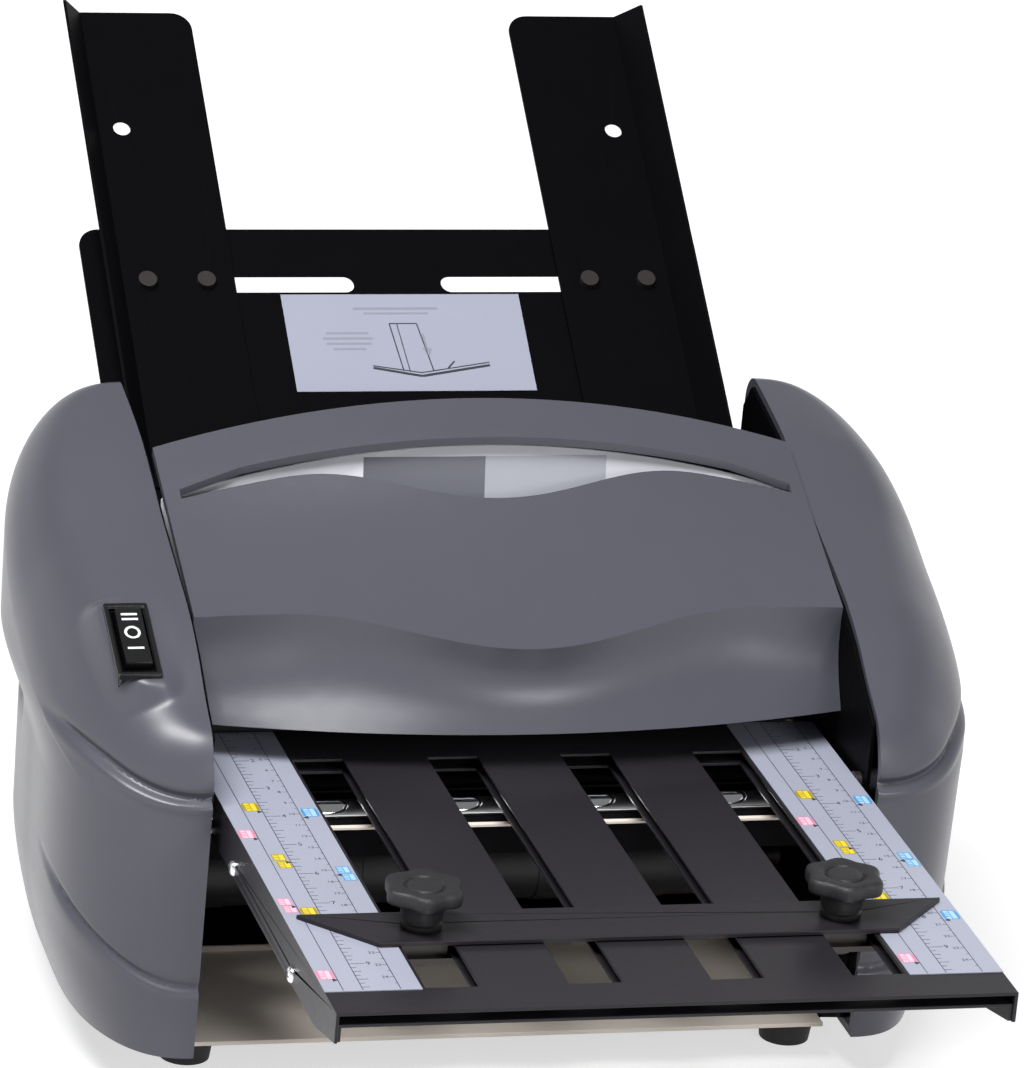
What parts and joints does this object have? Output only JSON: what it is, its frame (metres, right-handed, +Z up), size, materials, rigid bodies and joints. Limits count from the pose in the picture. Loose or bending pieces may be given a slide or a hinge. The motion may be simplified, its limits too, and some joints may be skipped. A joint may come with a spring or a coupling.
{
  "type": "paper folding machine",
  "caption": "Desktop paper folding machine with a sloping feed tray, paper guides, geared fold rollers and a slotted fold plate with a clamped stop bar.",
  "frame": {"origin": "on the standing surface, under the middle of the overall box", "axes": "+Z up, -Y to the front where the fold plate stands out, +X to the operator's right"},
  "size_m": [0.3562, 0.5466, 0.3119],
  "materials": {
    "cover_grey": "satin slate grey moulded plastic",
    "black_steel": "black powder coat",
    "plate_paint": "smooth dark grey paint",
    "floor_beige": "pale satin paint",
    "zinc": "zinc plate",
    "bright_rod": "polished",
    "roller_steel": "knurled steel with rubber bands",
    "black_rubber": "matte",
    "gear_white": "natural nylon",
    "ruler_print": "printed film",
    "label_film": "printed film",
    "ramp_pale": "satin",
    "knob_black": "satin",
    "switch_black": "semi gloss",
    "bronze": "oiled",
    "motor_paint": "satin",
    "circuit_green": "lacquered"
  },
  "bodies": {
    "chassis": {"base_plate": "black_steel", "control_board": "circuit_green", "cover_posts": "cover_grey", "cross_channels": "black_steel", "cross_rods": "zinc", "delivery_floor": "floor_beige", "drive_belt": "black_rubber", "exit_lip": "floor_beige", "feed_tray": "black_steel", "flange_screws": "zinc", "frame_screws": "zinc", "left_bushes": "bronze", "left_ruler_strip": "ruler_print", "left_side_cover": "cover_grey", "left_side_frame": "black_steel", "lower_fold_plate": "plate_paint", "mains_inlet": "switch_black", "manual_feed_ramp": "ramp_pale", "motor": "motor_paint", "ramp_label": "label_film", "rear_cover": "black_steel", "rear_plate_lower": "plate_paint", "rear_plate_upper": "plate_paint", "retard_block": "knob_black", "retard_pad": "black_rubber", "right_bushes": "bronze", "right_ruler_strip": "ruler_print", "right_side_cover": "cover_grey", "right_side_frame": "black_steel", "rubber_feet": "black_rubber", "switch_bezel": "switch_black", "table_rest_rod": "bright_rod", "top_cover": "cover_grey", "tray_label": "label_film", "upper_fold_plate": "plate_paint"},
    "stop_bar_body": {"stop_bar": "plate_paint", "clamp_plates": "zinc", "clamp_bolts": "zinc"},
    "left_knob_body": {"left_clamp_knob": "knob_black"},
    "right_knob_body": {"right_clamp_knob": "knob_black"},
    "rocker_body": {"rocker": "switch_black"},
    "left_guide_body": {"left_paper_guide": "black_steel", "left_guide_screws": "black_steel"},
    "right_guide_body": {"right_paper_guide": "black_steel", "right_guide_screws": "black_steel"},
    "feed_body": {"feed_shaft": "zinc", "feed_tyres": "black_rubber", "feed_gear": "gear_white"},
    "roller_1_body": {"fold_roller_1": "roller_steel", "roller_gear_1": "gear_white"},
    "roller_2_body": {"fold_roller_2": "roller_steel", "roller_gear_2": "gear_white"},
    "roller_3_body": {"fold_roller_3": "roller_steel", "roller_gear_3": "gear_white"},
    "roller_4_body": {"fold_roller_4": "roller_steel", "roller_gear_4": "gear_white", "driven_pulley": "gear_white"},
    "idler_body": {"idler_gear": "gear_white"},
    "motor_shaft_body": {"motor_pulley": "gear_white"},
    "rear_stop_body": {"rear_stop": "plate_paint"}
  },
  "joints": [
    {"name": "stop_bar_slide", "type": "slide", "parent": "chassis", "child": "stop_bar_body", "axis": [0, 1, 0], "range_m": [-0.036, 0.115]},
    {"name": "left_knob_turn", "type": "hinge", "parent": "stop_bar_body", "child": "left_knob_body", "pos_m": [-0.0762, -0.20946, 0.1222], "axis": [0, 0, 1], "range_deg": [0, 360]},
    {"name": "right_knob_turn", "type": "hinge", "parent": "stop_bar_body", "child": "right_knob_body", "pos_m": [0.0762, -0.20946, 0.1222], "axis": [0, 0, 1], "range_deg": [0, 360]},
    {"name": "rocker_tip", "type": "hinge", "parent": "chassis", "child": "rocker_body", "pos_m": [-0.1486, -0.05359, 0.16426], "axis": [1, 0, 0], "range_deg": [-8, 8]},
    {"name": "left_guide_slide", "type": "slide", "parent": "chassis", "child": "left_guide_body", "axis": [1, 0, 0], "range_m": [-0.004, 0.052]},
    {"name": "right_guide_slide", "type": "slide", "parent": "chassis", "child": "right_guide_body", "axis": [1, 0, 0], "range_m": [-0.052, 0.004]},
    {"name": "rear_stop_slide", "type": "slide", "parent": "chassis", "child": "rear_stop_body", "axis": [0, 0.9681, -0.2504], "range_m": [-0.033, 0.027]},
    {"name": "roller_4_spin", "type": "hinge", "parent": "chassis", "child": "roller_4_body", "pos_m": [0, 0.00262, 0.05184], "axis": [1, 0, 0], "continuous": true},
    {"name": "roller_3_spin", "type": "hinge", "parent": "chassis", "child": "roller_3_body", "pos_m": [0, -0.00344, 0.08163], "axis": [1, 0, 0], "continuous": true},
    {"name": "roller_2_spin", "type": "hinge", "parent": "chassis", "child": "roller_2_body", "pos_m": [0, 0.00417, 0.11106], "axis": [1, 0, 0], "continuous": true},
    {"name": "roller_1_spin", "type": "hinge", "parent": "chassis", "child": "roller_1_body", "pos_m": [0, -0.00781, 0.139], "axis": [1, 0, 0], "continuous": true},
    {"name": "idler_spin", "type": "hinge", "parent": "chassis", "child": "idler_body", "pos_m": [0, 0.01535, 0.15869], "axis": [1, 0, 0], "continuous": true},
    {"name": "feed_spin", "type": "hinge", "parent": "chassis", "child": "feed_body", "pos_m": [0, 0.04442, 0.16761], "axis": [1, 0, 0], "continuous": true},
    {"name": "motor_spin", "type": "hinge", "parent": "chassis", "child": "motor_shaft_body", "pos_m": [0, 0.06019, 0.042], "axis": [1, 0, 0], "continuous": true}
  ],
  "couplings": [
    {"joint": "roller_3_spin", "follows": "roller_4_spin", "ratio": -1},
    {"joint": "roller_2_spin", "follows": "roller_4_spin", "ratio": 1},
    {"joint": "roller_1_spin", "follows": "roller_4_spin", "ratio": -1},
    {"joint": "idler_spin", "follows": "roller_4_spin", "ratio": 1},
    {"joint": "feed_spin", "follows": "roller_4_spin", "ratio": -1},
    {"joint": "motor_spin", "follows": "roller_4_spin", "ratio": 2}
  ]
}
